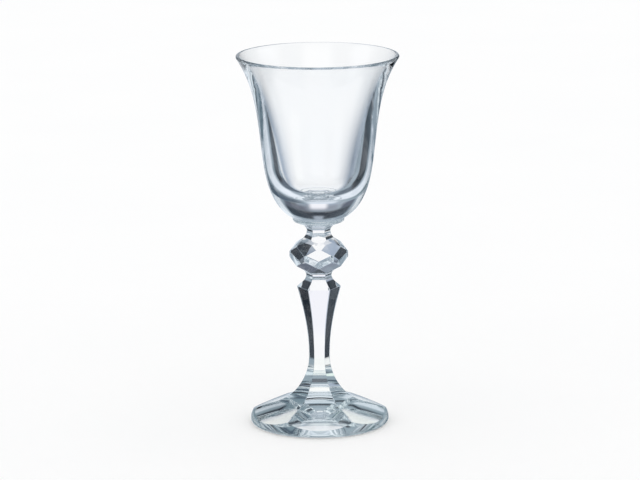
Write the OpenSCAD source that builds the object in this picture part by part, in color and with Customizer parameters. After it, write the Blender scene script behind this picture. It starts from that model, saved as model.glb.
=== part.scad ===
// Liqueur glass with a bell bowl on a six-sided cut stem, five pieces of clear glass joined hot.
// Millimetres, +Z up. The origin is the centre of the circle that the foot stands on,
// and one flat of the stem faces -Y.

/* [Bowl] */
// Height of the bowl, from the collar to the lip
bowl_h = 59.2; // [50:0.2:70]
// Diameter over the lip
rim_d = 58.4; // [52:0.2:66]
// Diameter of the belly, below the flare
belly_d = 39.1; // [35:0.1:44]
// Height of the belly above the collar
belly_up = 19; // [16:0.5:24]
// Wall at the lip
lip_t = 1.2; // [0.8:0.1:2]
// Wall at the belly
belly_t = 5.4; // [3:0.1:6.6]
// Solid glass under the inside of the bowl
bowl_floor_t = 8.8; // [5:0.2:12]
// Lean of the lip, outward from upright
lip_angle = 33; // [26:1:42]

/* [Collar] */
// Diameter of the collar
collar_d = 18.6; // [17:0.2:24]
// Thickness of the collar
collar_t = 1.9; // [1.4:0.1:3]
// Upright part of the collar's edge
collar_edge_h = 1.1; // [0.5:0.1:1.3]

/* [Knop] */
// Width of the knop across its upright facets
knop_af = 18.4; // [16:0.2:22]
// Height of the cut knop, between its necks
knop_h = 12.2; // [10:0.2:15]
// Short upright edge on each corner of the knop
knop_edge_h = 2; // [1:0.1:3]
// Width of both necks across flats where they meet the knop
knop_neck_af = 9.4; // [8.4:0.1:11]
// Height of the neck between the knop and the collar
upper_neck_h = 5.6; // [4.6:0.1:8]
// Waist of that neck across flats
upper_waist_af = 7.4; // [6:0.1:8.4]
// Height of that waist above the knop
upper_waist_up = 2.6; // [1.8:0.1:3.6]
// Width of the neck across flats where it meets the collar
collar_seat_af = 12.8; // [10:0.1:13.6]
// Height of the knop's own neck above its joint with the stem
knop_root_h = 1.9; // [1.2:0.1:3]

/* [Stem] */
// Height of the shaft, from the foot to the shoulder
shaft_h = 26.2; // [20:0.2:50]
// Width of the shoulder across flats
shoulder_af = 13.8; // [11:0.1:16]
// Height of the neck above the shoulder
lower_neck_h = 4; // [3:0.1:6]
// Width across flats where the stem joins the knop
lower_waist_af = 8; // [6.8:0.1:9]
// Width across flats where the stem joins the foot
stem_end_af = 6.5; // [5.4:0.1:8]

/* [Foot] */
// Diameter of the foot
foot_d = 50.3; // [44:0.1:60]
// Height of the foot, up to the stem
foot_h = 24; // [18:0.2:32]
// Diameter over the ridges where the spread of the foot eases off
spread_d = 30.8; // [26:0.2:36]
// Height of the ridges there
spread_h = 7.3; // [6:0.1:9]
// Thickness of the foot at its edge, in the middle of a panel
foot_edge_t = 2.7; // [2:0.1:3.2]
// Rounding under the edge
foot_round = 1.2; // [0.6:0.1:1.4]
// Depth from the edge at which the rounded brow starts on each ridge
brow_w = 3.5; // [2:0.1:5]
// Height of that brow
brow_h = 4.1; // [3.4:0.1:5]
// Width of the flat ring that the foot stands on
ring_w = 1.4; // [0.8:0.1:4]
// Depth of the round hollow inside that ring
hollow_depth = 3.6; // [1:0.1:5]

/* [Hidden] */
$fn = 96;
glass = [0.86, 0.91, 0.95, 0.4];

// Share of a curve's span that each of its handles takes
pull = 0.35;
// Share of the floor inside the bowl that its round bottom leaves level
level_share = 0.62;
curve_steps = 12;
arc_steps = 6;
// Directions of the outlines, in degrees from straight up, or from straight down on the foot
bowl_base_angle = 63;
belly_angle = 8;
inside_angle = 13;
shoulder_angle = 16;
shoulder_top_angle = -41;
waist_angle = -7;
root_angle = 45;
knop_top_angle = -40;
collar_seat_angle = 62;
spread_top_angle = 1;
spread_angle = 75;
edge_angle = 70;
// Angle between the outside and the inside of the wall below the lip
lip_taper = 3;
// Step between the collar's edge and each piece fused to it
collar_step = 0.1;
// Room that cutting shapes keep past what they cut
past = 1;

// Heights of the joints
stem_z = foot_h;
knop_z = stem_z + shaft_h + lower_neck_h;
collar_z = knop_z + knop_root_h + knop_h + upper_neck_h;
bowl_z = collar_z + collar_t;

// Distance from the axis to a corner of a six-sided section of a given width across flats
function corner(across_flats) = across_flats / 2 / cos(30);

function without_first(points) = [for (i = [1 : len(points) - 1]) points[i]];

function heading(angle) = [sin(angle), cos(angle)];

// Cubic curve that leaves its start towards a and comes to its end from b
function cubic(start, a, b, end) =
    [for (i = [0 : curve_steps])
        let (t = i / curve_steps, s = 1 - t)
        s * s * s * start + 3 * s * s * t * a + 3 * s * t * t * b + t * t * t * end];

// Cubic curve of [radius, height] from one point and direction to another
function bend(start, start_angle, end, end_angle) =
    let (handle = pull * norm(end - start))
    cubic(start, start + handle * heading(start_angle), end - handle * heading(end_angle), end);

// Stretch of an ellipse between two angles
function arc(centre, radii, from, to) =
    [for (i = [0 : arc_steps])
        let (angle = from + (to - from) * i / arc_steps)
        centre + [radii[0] * cos(angle), radii[1] * sin(angle)]];

// Straight bar whose section is a half outline and its mirror image, with flats facing -Y and +Y
module mirrored_bar(half, length) {
    other_half = [for (i = [len(half) - 1 : -1 : 0]) [-half[i][0], half[i][1]]];
    rotate([90, 0, 90])
        linear_extrude(height = length, center = true)
            polygon(concat(half, other_half));
}

// Six-sided solid whose corners follow an outline of [radius, height]
module six_sided(ridge) {
    flat = [for (point = ridge) [point[0] * cos(30), point[1]]];
    length = 2 * max([for (point = ridge) point[0]]) + past;
    intersection() {
        mirrored_bar(flat, length);
        rotate([0, 0, 60]) mirrored_bar(flat, length);
        rotate([0, 0, 120]) mirrored_bar(flat, length);
    }
}

// Pressed foot: six hollow-curved panels with ridges between them, a round edge and a ring to stand on
module foot() {
    top = [corner(stem_end_af), foot_h];
    ease = [spread_d / 2, spread_h];
    outer = [corner(foot_d), foot_edge_t];
    ridge = concat(
        bend(top, 180 - spread_top_angle, ease, 180 - spread_angle),
        without_first(bend(ease, 180 - spread_angle, outer, 180 - edge_angle)),
        [[outer[0], -past]]
    );
    hollow_edge = foot_d / 2 - foot_round - ring_w;
    hollow_r = (hollow_edge * hollow_edge + hollow_depth * hollow_depth) / 2 / hollow_depth;
    edge = concat(
        [[0, 0]],
        arc([foot_d / 2 - foot_round, foot_round], [foot_round, foot_round], -90, 0),
        arc([foot_d / 2 - brow_w, foot_round], [brow_w, brow_h], 0, 90),
        [[corner(stem_end_af) + brow_w, foot_h + past], [0, foot_h + past]]
    );
    color(glass)
        difference() {
            intersection() {
                six_sided(ridge);
                rotate_extrude() polygon(edge);
            }
            translate([0, 0, hollow_depth - hollow_r]) sphere(hollow_r);
        }
}

// Stem: shaft that swells to a sharp shoulder, and half of the neck above it
module stem() {
    shoulder = [corner(shoulder_af), shaft_h];
    ridge = concat(
        bend([corner(stem_end_af), 0], 0, shoulder, shoulder_angle),
        without_first(bend(shoulder, shoulder_top_angle,
            [corner(lower_waist_af), shaft_h + lower_neck_h], waist_angle))
    );
    color(glass) translate([0, 0, stem_z]) six_sided(ridge);
}

// Cut knop, centred on its equator: upright diamonds, kites over the corners, and triangles up to the necks
module cut_knop() {
    neck = [corner(knop_neck_af), knop_h / 2];
    tip = [corner(knop_af), knop_edge_h / 2];
    // Height at which a kite's side corner meets the point of an upright diamond
    share = (tip[0] - knop_af / 2 * cos(30)) / (tip[0] - neck[0]);
    diamond_h = tip[1] + share * (neck[1] - tip[1]);
    kites = [[neck[0], -neck[1]], [tip[0], -tip[1]], tip, neck];
    triangles = [[knop_neck_af / 2, -neck[1]], [knop_af / 2, -diamond_h],
        [knop_af / 2, diamond_h], [knop_neck_af / 2, neck[1]]];
    intersection() {
        for_each_side(0) mirrored_bar(triangles, 2 * knop_af);
        for_each_side(30) mirrored_bar(kites, 2 * knop_af);
    }
}

// What is common to a shape in the three directions of a six-sided section, turned by an angle
module for_each_side(turn) {
    intersection() {
        rotate([0, 0, turn]) children();
        rotate([0, 0, turn + 60]) children();
        rotate([0, 0, turn + 120]) children();
    }
}

// Knop with the six-sided necks below and above it
module knop() {
    ring = corner(knop_neck_af);
    root = concat(
        bend([corner(lower_waist_af), 0], waist_angle, [ring, knop_root_h], root_angle),
        [[ring, knop_root_h + past]]
    );
    waist = [corner(upper_waist_af), upper_waist_up];
    neck = concat(
        [[ring, -past]],
        bend([ring, 0], knop_top_angle, waist, 0),
        without_first(bend(waist, 0, [corner(collar_seat_af), upper_neck_h], collar_seat_angle))
    );
    color(glass)
        translate([0, 0, knop_z])
            union() {
                six_sided(root);
                translate([0, 0, knop_root_h + knop_h / 2]) cut_knop();
                translate([0, 0, knop_root_h + knop_h]) six_sided(neck);
            }
}

// Collar: thin round disc, undercut towards the neck
module collar() {
    color(glass)
        translate([0, 0, collar_z])
            rotate_extrude()
                polygon([
                    [0, 0],
                    [corner(collar_seat_af) + collar_step, 0],
                    [collar_d / 2, collar_t - collar_edge_h],
                    [collar_d / 2, collar_t],
                    [0, collar_t]
                ]);
}

// Blown bowl: round base, slightly flared belly, thin rolled lip and thick floor
module bowl() {
    seat = [collar_d / 2 - collar_step, 0];
    belly = [belly_d / 2, belly_up];
    inside = [belly_d / 2 - belly_t, belly_up];
    floor_middle = [0, bowl_floor_t];
    // Where the wall would meet the floor inside, if the bottom weren't round
    floor_corner = [inside[0] - (belly_up - bowl_floor_t) * tan(inside_angle), bowl_floor_t];
    floor_level = [level_share * floor_corner[0], bowl_floor_t];
    lip_r = lip_t / 2;
    lip_centre = [rim_d / 2 - lip_r, bowl_h - lip_r];
    across_lip = lip_r * [cos(lip_angle), -sin(lip_angle)];
    outline = concat(
        [[0, 0]],
        bend(seat, bowl_base_angle, belly, belly_angle),
        without_first(bend(belly, belly_angle, lip_centre + across_lip, lip_angle)),
        without_first(arc(lip_centre, [lip_r, lip_r], -lip_angle, 180 - lip_angle)),
        without_first(bend(lip_centre - across_lip, 180 + lip_angle + lip_taper,
            inside, 180 + inside_angle)),
        without_first(cubic(inside, floor_corner, floor_level, floor_middle))
    );
    color(glass) translate([0, 0, bowl_z]) rotate_extrude() polygon(outline);
}

foot();
stem();
knop();
collar();
bowl();
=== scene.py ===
import math

import bmesh
import bpy
from mathutils import Matrix, Vector


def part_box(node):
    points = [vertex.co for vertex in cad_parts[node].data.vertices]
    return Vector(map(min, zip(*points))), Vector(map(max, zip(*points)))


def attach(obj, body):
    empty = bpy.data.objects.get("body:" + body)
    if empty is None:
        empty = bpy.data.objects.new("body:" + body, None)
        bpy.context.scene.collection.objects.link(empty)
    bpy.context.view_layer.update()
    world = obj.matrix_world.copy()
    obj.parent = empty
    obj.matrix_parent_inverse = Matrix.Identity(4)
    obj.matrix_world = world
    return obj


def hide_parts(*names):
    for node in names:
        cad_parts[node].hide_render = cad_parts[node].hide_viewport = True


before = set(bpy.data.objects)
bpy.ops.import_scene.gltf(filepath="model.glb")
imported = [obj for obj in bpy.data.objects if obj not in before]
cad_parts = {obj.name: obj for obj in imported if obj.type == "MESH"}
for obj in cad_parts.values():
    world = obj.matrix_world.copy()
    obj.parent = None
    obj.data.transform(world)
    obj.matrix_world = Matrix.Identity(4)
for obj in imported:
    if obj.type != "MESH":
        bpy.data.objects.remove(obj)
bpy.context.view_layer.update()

# Foot: clear glass pressed in a mould, with six hollow-curved panels that spread from the stem and meet
# in ridges. Fire has softened its round edge, and a round hollow underneath leaves a ring to stand on.
side_count = 6
side_angle = 360 / side_count
half_side = math.radians(side_angle / 2)


def corner_radius(across_flats):
    """Distance from the axis to the corners of a six-sided section."""
    return across_flats / 2 / math.cos(half_side)


foot_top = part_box("foot")[1].z
foot_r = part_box("foot")[1].x
foot_end_r = corner_radius(across_flats=0.0065)
spread_r = 0.0154
spread_h = 0.0073
foot_edge_t = 0.0027
foot_ease = Vector((spread_r, spread_h))
foot_outer = Vector((foot_r / math.cos(half_side), foot_edge_t))
spread_top_angle = 179
spread_angle = 105
edge_angle = 110
brow_w = 0.0035
brow_h = 0.0041
underside_round = 0.0012
ring_w = 0.0014
hollow_edge = foot_r - underside_round - ring_w
hollow_depth = 0.0036
ridge_half_angle = math.radians(29.3)
panel_columns = 25
spread_rings = 26
ease_rings = 18
brow_rings = 14
round_rings = 9
hollow_rings = 18


def heading(angle):
    """Direction in [radius, height], for an angle in degrees from straight up."""
    return Vector((math.sin(math.radians(angle)), math.cos(math.radians(angle))))


def cubic(start, a, b, end, t):
    """Point at the share t of a curve that leaves its start towards a and comes to its end from b."""
    s = 1 - t
    return s**3 * start + 3 * s * s * t * a + 3 * s * t * t * b + t**3 * end


def bend(start, start_angle, end, end_angle, t, pull=0.35):
    """Point of [radius, height] at the share t of a smooth curve; angles are degrees from straight up."""
    handle = pull * (end - start).length
    return cubic(start, start + handle * heading(start_angle), end - handle * heading(end_angle), end, t)


def panel_point(t):
    """Ridge outline of the foot: the spread for t below 1, then the easing out to the edge."""
    if t < 1:
        return bend(Vector((foot_end_r, foot_top)), spread_top_angle, foot_ease, spread_angle, t)
    return bend(foot_ease, spread_angle, foot_outer, edge_angle, t - 1)


def panel_radius(t, off_middle):
    """Distance from the axis to a panel, at an angle from the panel's middle; the ridge is rounded."""
    apothem = panel_point(t).x * math.cos(half_side)
    return apothem / math.cos(min(abs(off_middle), ridge_half_angle))


def brow_point(rise):
    """Round edge of the foot above its widest line, for an angle of rise."""
    return Vector((foot_r - brow_w + brow_w * math.cos(rise), underside_round + brow_h * math.sin(rise)))


def brow_radius(height):
    """Distance from the axis to the round edge at a height."""
    rise = math.asin(min(1.0, max(0.0, (height - underside_round) / brow_h)))
    return brow_point(rise).x


def crease(off_middle, halvings=40):
    """Share t at which a panel runs into the round edge, found by halving."""
    low, high = 1.0, 2.0
    for _ in range(halvings):
        t = (low + high) / 2
        if panel_radius(t, off_middle) < brow_radius(panel_point(t).y):
            low = t
        else:
            high = t
    return low


def foot_outline(off_middle):
    """Half section of the foot, from the stem down to the middle of its underside."""
    end = crease(off_middle)
    rows = [i / spread_rings for i in range(spread_rings)]
    rows += [1 + (end - 1) * i / ease_rings for i in range(ease_rings + 1)]
    line = [Vector((panel_radius(t, off_middle), panel_point(t).y)) for t in rows]
    rise = math.asin((line[-1].y - underside_round) / brow_h)
    for i in range(1, brow_rings + 1):
        line.append(brow_point(rise * (1 - i / brow_rings)))
    for i in range(1, round_rings + 1):
        dip = math.pi / 2 * i / round_rings
        line.append(Vector((
            foot_r - underside_round * (1 - math.cos(dip)), underside_round * (1 - math.sin(dip)))))
    ball_r = (hollow_edge**2 + hollow_depth**2) / 2 / hollow_depth
    for i in range(hollow_rings):
        reach = hollow_edge * (1 - i / hollow_rings)
        line.append(Vector((reach, math.sqrt(ball_r**2 - reach * reach) - ball_r + hollow_depth)))
    return line


foot_columns = []
for panel in range(side_count):
    middle = math.radians(side_angle * (panel + 0.5))
    foot_columns.append((middle, -half_side))
    for j in range(panel_columns):
        foot_columns.append((middle, ridge_half_angle * (2 * j / (panel_columns - 1) - 1)))
foot_lines = [foot_outline(off) for middle, off in foot_columns]


def foot_ring(row):
    """Corners of one ring of the foot, in order round the axis."""
    ring = []
    for (middle, off), line in zip(foot_columns, foot_lines):
        turn = middle + off
        ring.append((line[row].x * math.cos(turn), line[row].x * math.sin(turn), line[row].y))
    return ring


def start_piece(name, sides, radius, height, turn=0.0):
    """Adds a filled ring as a new piece and opens it for editing, with the ring selected."""
    bpy.ops.object.select_all(action="DESELECT")
    bpy.ops.mesh.primitive_circle_add(
        vertices=sides, radius=radius, fill_type="NGON", location=(0, 0, height), rotation=(0, 0, turn))
    bpy.ops.object.transform_apply(location=True, rotation=True, scale=True)
    piece = bpy.context.active_object
    piece.name = name
    bpy.ops.object.mode_set(mode="EDIT")
    bpy.ops.mesh.select_mode(type="FACE")
    bpy.ops.mesh.select_all(action="SELECT")
    return piece


def lay_selected_ring(piece, points, first_slack=0.0001):
    """Moves the selected ring's corners onto points, both in order round the axis from the X axis on."""
    mesh = bmesh.from_edit_mesh(piece.data)
    ring = [v for v in mesh.verts if v.select]
    ring.sort(key=lambda v: (math.atan2(v.co.y, v.co.x) + first_slack) % math.tau)
    for corner, point in zip(ring, points):
        corner.co = point
    bmesh.update_edit_mesh(piece.data)


foot = start_piece("foot_glass", len(foot_columns), foot_end_r, foot_top)
lay_selected_ring(foot, foot_ring(0))
for row in range(1, len(foot_lines[0])):
    bpy.ops.mesh.extrude_region_move()
    lay_selected_ring(foot, foot_ring(row))
bpy.ops.mesh.extrude_region_move()
bpy.ops.mesh.select_mode(type="VERT")
bpy.ops.mesh.merge(type="CENTER")
bpy.ops.transform.translate(value=(0, 0, hollow_depth - foot_lines[0][-1].y))


def finish_piece(piece, node, smooth_angle):
    """Turns the faces outwards, smooths gentle curves and hangs the piece on the frame."""
    bpy.ops.mesh.select_all(action="SELECT")
    bpy.ops.mesh.normals_make_consistent(inside=False)
    bpy.ops.object.mode_set(mode="OBJECT")
    bpy.ops.object.shade_smooth_by_angle(angle=math.radians(smooth_angle))
    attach(piece, "root")
    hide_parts(node)


ridge_smooth = 9
finish_piece(foot, "foot", ridge_smooth)


def fused_seam():
    """Inside of a hot joint: the two glasses are one there, so light goes straight through."""
    seam = bpy.data.materials.new("fused_seam")
    seam.use_nodes = True
    seam.node_tree.nodes["Principled BSDF"].inputs["Alpha"].default_value = 0.0
    return seam


def glass_effects():
    """Node group that gives molten glass its faint cloudy tint and the ripple of its skin."""
    group = bpy.data.node_groups.new("glass_effects", "ShaderNodeTree")
    group.interface.new_socket("Stretch", in_out="INPUT", socket_type="NodeSocketVector")
    group.interface.new_socket("Tint", in_out="INPUT", socket_type="NodeSocketColor")
    group.interface.new_socket("Ripple", in_out="INPUT", socket_type="NodeSocketFloat")
    group.interface.new_socket("Color", in_out="OUTPUT", socket_type="NodeSocketColor")
    group.interface.new_socket("Normal", in_out="OUTPUT", socket_type="NodeSocketVector")
    given = group.nodes.new("NodeGroupInput")
    result = group.nodes.new("NodeGroupOutput")
    place = group.nodes.new("ShaderNodeTexCoord")
    stretched = group.nodes.new("ShaderNodeVectorMath")
    stretched.operation = "MULTIPLY"
    group.links.new(place.outputs["Object"], stretched.inputs[0])
    group.links.new(given.outputs["Stretch"], stretched.inputs[1])
    cloud = group.nodes.new("ShaderNodeTexNoise")
    cloud.inputs["Scale"].default_value = 90.0
    cloud.inputs["Detail"].default_value = 3.0
    group.links.new(stretched.outputs["Vector"], cloud.inputs["Vector"])
    tinted = group.nodes.new("ShaderNodeMix")
    tinted.data_type = "RGBA"
    tinted.inputs["A"].default_value = (1, 1, 1, 1)
    group.links.new(cloud.outputs["Fac"], tinted.inputs["Factor"])
    group.links.new(given.outputs["Tint"], tinted.inputs["B"])
    skin = group.nodes.new("ShaderNodeTexNoise")
    skin.inputs["Scale"].default_value = 150.0
    skin.inputs["Detail"].default_value = 0.0
    group.links.new(stretched.outputs["Vector"], skin.inputs["Vector"])
    bump = group.nodes.new("ShaderNodeBump")
    bump.inputs["Strength"].default_value = 1.0
    group.links.new(given.outputs["Ripple"], bump.inputs["Distance"])
    group.links.new(skin.outputs["Fac"], bump.inputs["Height"])
    group.links.new(tinted.outputs["Result"], result.inputs["Color"])
    group.links.new(bump.outputs["Normal"], result.inputs["Normal"])
    return group


glass_group = glass_effects()
seam_material = fused_seam()


def clear_glass(name, tint, ripple, stretch=(1, 1, 1)):
    """Polished clear glass with its own tint; the ripple is in metres, and the stretch draws it out."""
    glass = bpy.data.materials.new(name)
    glass.use_nodes = True
    shader = glass.node_tree.nodes["Principled BSDF"]
    effects = glass.node_tree.nodes.new("ShaderNodeGroup")
    effects.node_tree = glass_group
    effects.inputs["Stretch"].default_value = stretch
    effects.inputs["Tint"].default_value = tint
    effects.inputs["Ripple"].default_value = ripple
    glass.node_tree.links.new(effects.outputs["Color"], shader.inputs["Base Color"])
    glass.node_tree.links.new(effects.outputs["Normal"], shader.inputs["Normal"])
    shader.inputs["Roughness"].default_value = 0.0
    shader.inputs["IOR"].default_value = 1.52
    shader.inputs["Transmission Weight"].default_value = 1.0
    return glass


height_slack = 0.00001
level_normal = 0.999


def dress(piece, glass, seam_heights, seam_reach=0.0005):
    """Gives a piece its glass, and the seam to the level faces of a joint, by their reach from the axis."""
    piece.data.materials.clear()
    piece.data.materials.append(glass)
    piece.data.materials.append(seam_material)
    for face in piece.data.polygons:
        level = abs(face.normal.z) > level_normal
        near_axis = face.center.xy.length < seam_reach
        at_joint = any(abs(face.center.z - height) < height_slack for height in seam_heights)
        face.material_index = 1 if level and near_axis and at_joint else 0


pressed_tint = (0.92, 0.985, 0.95, 1)
foot_glass = clear_glass("foot_glass", pressed_tint, ripple=0.000004)
dress(foot, foot_glass, [foot_top])

# Stem: six-sided baluster of clear glass, hollow-curved from the foot up to a sharp shoulder.
# Its flats are cut and polished, and both ends are fused hot to their neighbours.
stem_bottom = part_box("stem")[0].z
stem_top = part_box("stem")[1].z
shaft_h = 0.0262
shoulder = Vector((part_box("stem")[1].x, stem_bottom + shaft_h))
waist_r = corner_radius(across_flats=0.008)
shoulder_angle = 16
shoulder_top_angle = -41
waist_angle = -7
shaft_rings = 24
neck_rings = 12
ridge_round = 0.00012
corners_on_x = half_side


def bend_line(start, start_angle, end, end_angle, rings):
    """Points of a smooth curve at even shares, its start and its end among them."""
    return [bend(start, start_angle, end, end_angle, i / rings) for i in range(rings + 1)]


def extrude_to(old, new):
    """Draws the selected end face from one [radius, height] to the next."""
    bpy.ops.mesh.extrude_region_move(TRANSFORM_OT_translate={"value": (0, 0, new.y - old.y)})
    share = new.x / old.x
    bpy.ops.transform.resize(value=(share, share, 1), center_override=(0, 0, new.y))


def extrude_along(outline):
    """Draws the selected end face along an outline that starts at its edge."""
    for old, new in zip(outline, outline[1:]):
        extrude_to(old, new)


def soften_edges(piece, width, keep_heights, sharpness=20):
    """Rounds the sharp edges of a cut piece, apart from those that lie in a joint."""
    bpy.ops.mesh.select_all(action="SELECT")
    bpy.ops.mesh.normals_make_consistent(inside=False)
    bpy.ops.mesh.select_mode(type="EDGE")
    bpy.ops.mesh.select_all(action="DESELECT")
    bpy.ops.mesh.edges_select_sharp(sharpness=math.radians(sharpness))
    mesh = bmesh.from_edit_mesh(piece.data)
    for edge in mesh.edges:
        for height in keep_heights:
            if all(abs(v.co.z - height) < height_slack for v in edge.verts):
                edge.select_set(False)
    bmesh.update_edit_mesh(piece.data)
    bpy.ops.mesh.bevel(offset=width, offset_type="OFFSET", segments=2, affect="EDGES")


stem_outline = bend_line(
    Vector((foot_end_r, stem_bottom)), 0, shoulder, shoulder_angle, shaft_rings)
stem_outline += bend_line(
    shoulder, shoulder_top_angle, Vector((waist_r, stem_top)), waist_angle, neck_rings)[1:]
stem = start_piece("stem_glass", side_count, foot_end_r, stem_bottom, corners_on_x)
extrude_along(stem_outline)
soften_edges(stem, ridge_round, [stem_bottom, stem_top])
finish_piece(stem, "stem", ridge_smooth)
cut_tint = (0.965, 0.975, 1.0, 1)
stem_glass = clear_glass("stem_glass", cut_tint, ripple=0.000002, stretch=(1, 1, 0.4))
dress(stem, stem_glass, [stem_bottom, stem_top])

# Knop: a bead of clear glass cut with upright diamonds, kites over the corners and triangles up to the
# necks. The facets are ground flat and polished, and the necks are drawn out six-sided from its ends.
knop_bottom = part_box("knop")[0].z
knop_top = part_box("knop")[1].z
knop_tip_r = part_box("knop")[1].x
knop_flat_r = knop_tip_r * math.cos(half_side)
root_h = 0.0019
knop_half_h = 0.0061
tip_half_h = 0.001
knop_middle = knop_bottom + root_h + knop_half_h
facets_low = knop_middle - knop_half_h
facets_high = knop_middle + knop_half_h
knop_end_r = corner_radius(across_flats=0.0094)
upper_waist_up = 0.0026
upper_waist = Vector((corner_radius(across_flats=0.0074), facets_high + upper_waist_up))
collar_seat_r = corner_radius(across_flats=0.0128)
root_angle = 225
knop_top_angle = -40
collar_seat_angle = 62
diamond_share = (knop_tip_r - knop_flat_r * math.cos(half_side)) / (knop_tip_r - knop_end_r)
diamond_half_h = tip_half_h + diamond_share * (knop_half_h - tip_half_h)
root_rings = 8
upper_rings = 10
facet_round = 0.0001


def select_end(piece, height):
    """Selects the flat end face of a piece at a height."""
    bpy.ops.mesh.select_mode(type="FACE")
    bpy.ops.mesh.select_all(action="DESELECT")
    mesh = bmesh.from_edit_mesh(piece.data)
    for face in mesh.faces:
        if all(abs(v.co.z - height) < height_slack for v in face.verts):
            face.select_set(True)
    bmesh.update_edit_mesh(piece.data)


knop = start_piece("knop_glass", side_count, knop_end_r, facets_low, corners_on_x)
bpy.ops.mesh.delete(type="ONLY_FACE")
knop_rings = [
    (knop_flat_r, -diamond_half_h, 0.0),
    (knop_tip_r, -tip_half_h, corners_on_x),
    (knop_tip_r, tip_half_h, corners_on_x),
    (knop_flat_r, diamond_half_h, 0.0),
    (knop_end_r, knop_half_h, corners_on_x)]
for radius, rise, turn in knop_rings:
    bpy.ops.mesh.primitive_circle_add(
        vertices=side_count, radius=radius, location=(0, 0, knop_middle + rise), rotation=(0, 0, turn))
bpy.ops.mesh.select_all(action="SELECT")
bpy.ops.mesh.convex_hull(face_threshold=math.radians(1), shape_threshold=math.radians(180))
select_end(knop, facets_low)
extrude_along(bend_line(
    Vector((knop_end_r, facets_low)), root_angle, Vector((waist_r, knop_bottom)), 180 + waist_angle,
    root_rings))
select_end(knop, facets_high)
extrude_along(bend_line(
    Vector((knop_end_r, facets_high)), knop_top_angle, upper_waist, 0, upper_rings))
extrude_along(bend_line(
    upper_waist, 0, Vector((collar_seat_r, knop_top)), collar_seat_angle, upper_rings))
soften_edges(knop, facet_round, [knop_bottom, knop_top])
finish_piece(knop, "knop", ridge_smooth)
knop_glass = clear_glass("knop_glass", cut_tint, ripple=0.000001)
dress(knop, knop_glass, [knop_bottom, knop_top])

# Collar: a thin disc of clear glass, set hot between the knop's upper neck and the bowl.
# Its edge is upright and fire-rounded, and it is undercut towards the neck.
collar_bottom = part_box("collar")[0].z
collar_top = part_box("collar")[1].z
collar_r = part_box("collar")[1].x
collar_step = 0.0001
collar_under_r = collar_seat_r + collar_step
bowl_seat_r = collar_r - collar_step
collar_edge_h = 0.0011
collar_edge_low = collar_top - collar_edge_h
edge_soft = 0.00012
collar_turns = 128
collar_smooth = 25

collar = start_piece("collar_glass", collar_turns, collar_under_r, collar_bottom)
extrude_along([
    Vector((collar_under_r, collar_bottom)),
    Vector((collar_r - 2 * edge_soft, collar_edge_low - edge_soft)),
    Vector((collar_r - 0.5 * edge_soft, collar_edge_low)),
    Vector((collar_r, collar_edge_low + 1.5 * edge_soft)),
    Vector((collar_r, collar_top - 1.5 * edge_soft)),
    Vector((collar_r - 0.25 * edge_soft, collar_top - 0.5 * edge_soft)),
    Vector((bowl_seat_r, collar_top))])
for side in range(side_count):
    select_end(collar, collar_bottom)
    across = math.radians(side_angle * (side + 0.5))
    outward = Vector((math.cos(across), math.sin(across), 0))
    seat_flat = outward * collar_seat_r * math.cos(half_side)
    bpy.ops.mesh.bisect(plane_co=(seat_flat.x, seat_flat.y, collar_bottom), plane_no=outward)
finish_piece(collar, "collar", collar_smooth)
collar_glass = clear_glass("collar_glass", pressed_tint, ripple=0.000003)
dress(collar, collar_glass, [collar_bottom, collar_top])

# Bowl: blown clear glass, a bell with a thick round base, opened out hot to a thin flared lip.
# The lip is cracked off, ground and fire-polished, and the base is set hot on the collar.
bowl_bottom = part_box("bowl")[0].z
bowl_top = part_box("bowl")[1].z
rim_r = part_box("bowl")[1].x
belly_r = 0.01955
belly_up = 0.019
belly_t = 0.0054
bowl_floor_t = 0.0088
bowl_base_angle = 63
belly_angle = 8
inside_angle = 13
level_share = 0.62
belly = Vector((belly_r, bowl_bottom + belly_up))
belly_inside = Vector((belly.x - belly_t, belly.y))
floor_middle = Vector((0.0, bowl_bottom + bowl_floor_t))
floor_reach = belly_inside.x - (belly_inside.y - floor_middle.y) * math.tan(math.radians(inside_angle))
floor_corner = Vector((floor_reach, floor_middle.y))
floor_level = Vector((level_share * floor_reach, floor_middle.y))
lip_half = 0.0006
lip_angle = 33
lip_taper = 3
lip_centre = Vector((rim_r - lip_half, bowl_top - lip_half))
across_lip = lip_half * Vector((math.cos(math.radians(lip_angle)), -math.sin(math.radians(lip_angle))))
base_rings = 26
flare_rings = 36
lip_rings = 10
bowl_turns = 192
bowl_smooth = 30

bowl_outline = [Vector((0, bowl_bottom))]
bowl_outline += bend_line(
    Vector((bowl_seat_r, bowl_bottom)), bowl_base_angle, belly, belly_angle, base_rings)[:-1]
bowl_outline += bend_line(
    belly, belly_angle, lip_centre + across_lip, lip_angle, flare_rings)[:-1]
bowl_outline += [
    lip_centre + lip_half * heading(90 + lip_angle - 180 * i / lip_rings) for i in range(lip_rings)]
bowl_outline += bend_line(
    lip_centre - across_lip, 180 + lip_angle + lip_taper, belly_inside, 180 + inside_angle, flare_rings)[:-1]
bowl_outline += [
    cubic(belly_inside, floor_corner, floor_level, floor_middle, i / base_rings)
    for i in range(base_rings + 1)]

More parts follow.
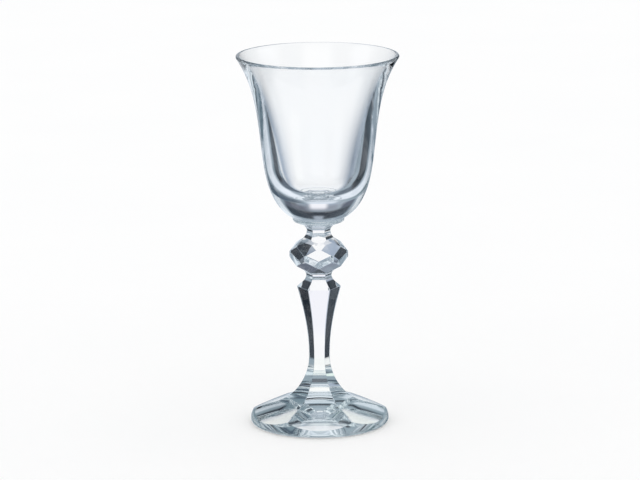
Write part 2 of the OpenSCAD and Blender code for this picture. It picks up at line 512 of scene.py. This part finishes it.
bpy.ops.object.select_all(action="DESELECT")
bpy.ops.mesh.primitive_plane_add(size=0.001, location=(0, 0, bowl_bottom))
bpy.ops.object.transform_apply(location=True)
bowl = bpy.context.active_object
bowl.name = "bowl_glass"
bpy.ops.object.mode_set(mode="EDIT")
bpy.ops.mesh.select_mode(type="VERT")
bpy.ops.mesh.select_all(action="SELECT")
bpy.ops.mesh.merge(type="CENTER")
for old, new in zip(bowl_outline, bowl_outline[1:]):
    step = new - old
    bpy.ops.mesh.extrude_region_move(TRANSFORM_OT_translate={"value": (step.x, 0, step.y)})
bpy.ops.mesh.select_all(action="SELECT")
bpy.ops.mesh.spin(steps=bowl_turns, angle=math.tau, center=(0, 0, 0), axis=(0, 0, 1))
bpy.ops.mesh.select_all(action="SELECT")
bpy.ops.mesh.remove_doubles(threshold=0.000005)
finish_piece(bowl, "bowl", bowl_smooth)
blown_tint = (0.97, 0.985, 1.0, 1)
bowl_glass = clear_glass("bowl_glass", blown_tint, ripple=0.000004, stretch=(1, 1, 0.35))
dress(bowl, bowl_glass, [bowl_bottom], seam_reach=bowl_seat_r)

# Floor: a plain pale table under the glass, matt and very faintly clouded.
# It is almost as white as the room, and takes the glass's soft shadow.
floor_size = 6
floor_drop = 0.0002
floor_pale = (0.975, 0.98, 0.985, 1)
floor_white = (1, 1, 1, 1)
bpy.ops.object.select_all(action="DESELECT")
bpy.ops.mesh.primitive_plane_add(size=floor_size, location=(0, 0, -floor_drop))
floor = bpy.context.active_object
floor.name = "floor"
floor_paint = bpy.data.materials.new("pale_floor")
floor_paint.use_nodes = True
floor_nodes = floor_paint.node_tree.nodes
floor_links = floor_paint.node_tree.links
floor_shader = floor_nodes["Principled BSDF"]
floor_place = floor_nodes.new("ShaderNodeTexCoord")
floor_cloud = floor_nodes.new("ShaderNodeTexNoise")
floor_cloud.inputs["Scale"].default_value = 12.0
floor_cloud.inputs["Detail"].default_value = 4.0
floor_colour = floor_nodes.new("ShaderNodeMix")
floor_colour.data_type = "RGBA"
floor_colour.inputs["A"].default_value = floor_pale
floor_colour.inputs["B"].default_value = floor_white
floor_links.new(floor_place.outputs["Object"], floor_cloud.inputs["Vector"])
floor_links.new(floor_cloud.outputs["Fac"], floor_colour.inputs["Factor"])
floor_links.new(floor_colour.outputs["Result"], floor_shader.inputs["Base Color"])
floor_shader.inputs["Roughness"].default_value = 0.9
floor_shader.inputs["Specular IOR Level"].default_value = 0.0
floor.data.materials.append(floor_paint)
floor.visible_transmission = False
floor.visible_glossy = False

# Room light: even white from all round, and for what glass mirrors and refracts a studio of soft panels:
# a white sweep behind the glass, dark flags beside it that draw its edges, and light overhead.
scene = bpy.context.scene
world = bpy.data.worlds.new("studio")
scene.world = world
world.use_nodes = True
room = world.node_tree


def soft_step(value, start, end):
    """Node output that rises smoothly from 0 to 1 as the value goes from start to end."""
    ramp = room.nodes.new("ShaderNodeMapRange")
    ramp.interpolation_type = "SMOOTHSTEP"
    ramp.inputs["From Min"].default_value = start
    ramp.inputs["From Max"].default_value = end
    room.links.new(value, ramp.inputs["Value"])
    return ramp.outputs["Result"]


def room_math(operation, *values):
    """Node output of a sum on numbers and other outputs."""
    node = room.nodes.new("ShaderNodeMath")
    node.operation = operation
    for socket, value in zip(node.inputs, values):
        if isinstance(value, float):
            socket.default_value = value
        else:
            room.links.new(value, socket)
    return node.outputs["Value"]


direction = room.nodes.new("ShaderNodeTexCoord")
direction_parts = room.nodes.new("ShaderNodeSeparateXYZ")
room.links.new(direction.outputs["Generated"], direction_parts.inputs["Vector"])
bearing = room_math("ARCTAN2", direction_parts.outputs["X"], direction_parts.outputs["Y"])
elevation = room_math("ARCSINE", direction_parts.outputs["Z"])

# Light is told apart by how often it was mirrored and how often it crossed the glass's skin.
# A wall of the bowl is crossed twice, once in and once out, so both walls are four crossings.
under_one = 0.5
over_three = 3.5
light_path = room.nodes.new("ShaderNodeLightPath")
crossings = light_path.outputs["Transmission Depth"]
mirrored = room_math("GREATER_THAN", light_path.outputs["Glossy Depth"], under_one)
straight = room_math("SUBTRACT", 1.0, mirrored)
outside = room_math("LESS_THAN", crossings, under_one)
two_walls = room_math("GREATER_THAN", crossings, over_three)
bowl_deep = room_math("MULTIPLY", straight, two_walls)
far_wall = room_math("MULTIPLY", mirrored, two_walls)
outer_skin = room_math("MULTIPLY", mirrored, outside)


def hang_panel(behind, colour, turn, half_width, fade, low, high, soft, seen_by=None):
    """Lays a panel over the colours behind it, for all light or for the kind in seen_by. In degrees:
    its middle is turned from +Y towards +X, fade blurs its sides, and soft its bottom and top."""
    off = room_math("PINGPONG", room_math("SUBTRACT", bearing, math.radians(turn)), math.pi)
    edge = math.radians(soft)
    sides = soft_step(off, math.radians(half_width + fade), math.radians(half_width - fade))
    bottom = soft_step(elevation, math.radians(low) - edge, math.radians(low) + edge)
    top = soft_step(elevation, math.radians(high) + edge, math.radians(high) - edge)
    cover = room_math("MULTIPLY", room_math("MULTIPLY", sides, bottom), top)
    if seen_by is not None:
        cover = room_math("MULTIPLY", cover, seen_by)
    mix = room.nodes.new("ShaderNodeMix")
    mix.data_type = "RGBA"
    room.links.new(cover, mix.inputs["Factor"])
    if isinstance(behind, tuple):
        mix.inputs["A"].default_value = behind
    else:
        room.links.new(behind, mix.inputs["A"])
    mix.inputs["B"].default_value = colour
    return mix.outputs["Result"]


# All light sees a grey room with its ceiling and a high window at each side.
room_grey = (0.30, 0.37, 0.43, 1)
ceiling_grey = (0.38, 0.45, 0.52, 1)
window_white = (0.82, 0.89, 0.95, 1)
studio = hang_panel(room_grey, ceiling_grey, 0, 200, 3, 50, 100, 3)
studio = hang_panel(studio, window_white, -96, 20, 6, 22, 50, 6)
studio = hang_panel(studio, window_white, 82, 22, 6, 27, 54, 6)

# Mirrored light sees the table, and dark and light screens at the sides and in front of the glass.
table_dark = (0.11, 0.13, 0.16, 1)
front_white = (0.93, 0.96, 1.0, 1)
screen_dark = (0.045, 0.06, 0.08, 1)
screen_light = (0.80, 0.89, 0.95, 1)
screen_mint = (0.85, 0.97, 0.93, 1)
studio = hang_panel(studio, table_dark, 0, 200, 3, -100, -74, 3, mirrored)
studio = hang_panel(studio, front_white, 180, 28, 10, 0, 60, 8, mirrored)
studio = hang_panel(studio, screen_dark, -124, 10, 8, -30, 26, 6, mirrored)
studio = hang_panel(studio, screen_dark, 104, 10, 8, -45, 18, 6, mirrored)
studio = hang_panel(studio, screen_light, -90, 13, 8, -40, 15, 6, mirrored)
studio = hang_panel(studio, screen_light, 129, 13, 8, -45, 18, 6, mirrored)
studio = hang_panel(studio, screen_light, -162, 14, 8, -25, 26, 6, mirrored)
studio = hang_panel(studio, screen_light, 180, 20, 8, -46, -28, 6, mirrored)
studio = hang_panel(studio, screen_mint, -120, 12, 4, -50, -34, 4, mirrored)

# Behind the glass, mirrored light sees a dark gap over the sweep, darks to both sides and the cool sweep.
gap_dark = (0.02, 0.023, 0.034, 1)
right_wall = (0.18, 0.25, 0.30, 1)
right_low = (0.06, 0.09, 0.13, 1)
low_dark = (0.08, 0.11, 0.15, 1)
flag_navy = (0.01, 0.018, 0.032, 1)
flag_black = (0.008, 0.01, 0.016, 1)
sweep_cool = (0.83, 0.89, 0.97, 1)
sweep_upper = (0.70, 0.77, 0.86, 1)
screen_teal = (0.07, 0.13, 0.15, 1)
studio = hang_panel(studio, gap_dark, 0, 30, 4, 24, 34, 4, mirrored)
studio = hang_panel(studio, right_wall, 35, 26, 6, 8, 44, 6, mirrored)
studio = hang_panel(studio, right_low, 34, 20, 6, -18, 10, 6, mirrored)
studio = hang_panel(studio, low_dark, -48, 14, 5, -72, -34, 5, mirrored)
studio = hang_panel(studio, low_dark, 26, 15, 5, -60, -32, 5, mirrored)
studio = hang_panel(studio, flag_navy, -46, 9, 3, -37, -18, 3, mirrored)
studio = hang_panel(studio, flag_black, 31, 15, 3, -42, -18, 3, mirrored)
studio = hang_panel(studio, sweep_cool, -11, 18, 5, -50, -12, 5, mirrored)
studio = hang_panel(studio, sweep_upper, -3, 12, 4, -8, 15, 4, mirrored)
studio = hang_panel(studio, screen_teal, -40, 12, 4, -24, -4, 4, mirrored)

# The outer skin and the far wall of the bowl mirror a white front.
studio = hang_panel(studio, front_white, 180, 95, 8, -84, -24, 6, outer_skin)
studio = hang_panel(studio, front_white, 180, 95, 8, -24, 40, 6, far_wall)

# Light that goes straight through sees white below, beside and in front, and windows over the sweep's ends.
panel_white = (1.0, 1.0, 1.0, 1)
studio = hang_panel(studio, panel_white, 0, 200, 3, -100, -64, 4, straight)
studio = hang_panel(studio, panel_white, 180, 128, 6, -100, 100, 4, straight)
studio = hang_panel(studio, window_white, -62, 10, 4, 19, 42, 4, straight)
studio = hang_panel(studio, window_white, 60, 12, 4, 19, 42, 4, straight)

# Over the sweep it sees the dark gap, which the thick base of the bowl shows.
gap_side = (0.10, 0.11, 0.15, 1)
gap_mid = (0.25, 0.28, 0.34, 1)
gap_light = (0.35, 0.40, 0.47, 1)
studio = hang_panel(studio, gap_side, 24, 16, 4, 19, 27, 3, straight)
studio = hang_panel(studio, gap_side, -34, 10, 4, 19, 27, 3, straight)
studio = hang_panel(studio, gap_dark, 0, 42, 4, 26, 45, 3, straight)
studio = hang_panel(studio, gap_mid, -4, 16, 5, 16, 25, 3, straight)
studio = hang_panel(studio, gap_light, 0, 6, 3, 35, 50, 3, straight)

# The sweep's greys, the flags that darken the stem's and the knop's side facets, and the white sweep.
left_grey = (0.38, 0.45, 0.56, 1)
right_grey = (0.26, 0.31, 0.39, 1)
sweep_top = (0.91, 0.91, 0.96, 1)
studio = hang_panel(studio, left_grey, -28, 20, 4, -60, 18, 3, straight)
studio = hang_panel(studio, right_grey, 20, 14, 4, -60, 18, 3, straight)
studio = hang_panel(studio, flag_black, -45, 6, 2, -46, 19, 3, straight)
studio = hang_panel(studio, flag_black, -42, 11, 3, -46, -30, 3, straight)
studio = hang_panel(studio, flag_black, 34, 12, 3, -20, 20, 3, straight)
studio = hang_panel(studio, flag_black, 36, 11, 3, -50, -31, 3, straight)
studio = hang_panel(studio, sweep_top, 0, 8, 3, -12, 22, 3, straight)
studio = hang_panel(studio, panel_white, -2, 16, 11, -54, -8, 3, straight)
studio = hang_panel(studio, panel_white, -45, 11, 5, -40, -14, 5, bowl_deep)
studio = hang_panel(studio, panel_white, -46, 6, 3, -33, -19, 3, straight)

# Only light that the camera sees in the glass shows the studio. The rest is white, and lights the floor.
in_glass = room_math(
    "MAXIMUM", light_path.outputs["Is Glossy Ray"], light_path.outputs["Is Transmission Ray"])
from_camera = room_math("LESS_THAN", light_path.outputs["Diffuse Depth"], under_one)
seen = room.nodes.new("ShaderNodeMix")
seen.data_type = "RGBA"
seen.inputs["A"].default_value = panel_white
room.links.new(room_math("MULTIPLY", in_glass, from_camera), seen.inputs["Factor"])
room.links.new(studio, seen.inputs["B"])
room.links.new(seen.outputs["Result"], room.nodes["Background"].inputs["Color"])
light_bounces = 32
scene.cycles.max_bounces = light_bounces
scene.cycles.glossy_bounces = light_bounces
scene.cycles.transmission_bounces = light_bounces
scene.cycles.transparent_max_bounces = light_bounces

# Camera: a long lens from a little above the rim, so that the glass is foreshortened as in the photograph.
# It is rolled by the small angle at which the photographed glass leans.
camera_data = bpy.data.cameras.new("camera")
camera_data.lens = 180
camera_data.sensor_width = 36
camera_data.clip_start = 0.05
camera_data.clip_end = 50
camera_aim = Vector((0.00049, 0, 0.06727))
camera_distance = 1.155
camera_rise = math.radians(12.48)
camera_roll = math.radians(-0.37)
camera_place = camera_aim + camera_distance * Vector((0, -math.cos(camera_rise), math.sin(camera_rise)))
camera = bpy.data.objects.new("camera", camera_data)
camera.matrix_world = (
    Matrix.Translation(camera_place)
    @ Matrix.Rotation(math.pi / 2 - camera_rise, 4, "X")
    @ Matrix.Rotation(camera_roll, 4, "Z"))
scene.collection.objects.link(camera)
scene.camera = camera
scene.view_settings.view_transform = "Standard"
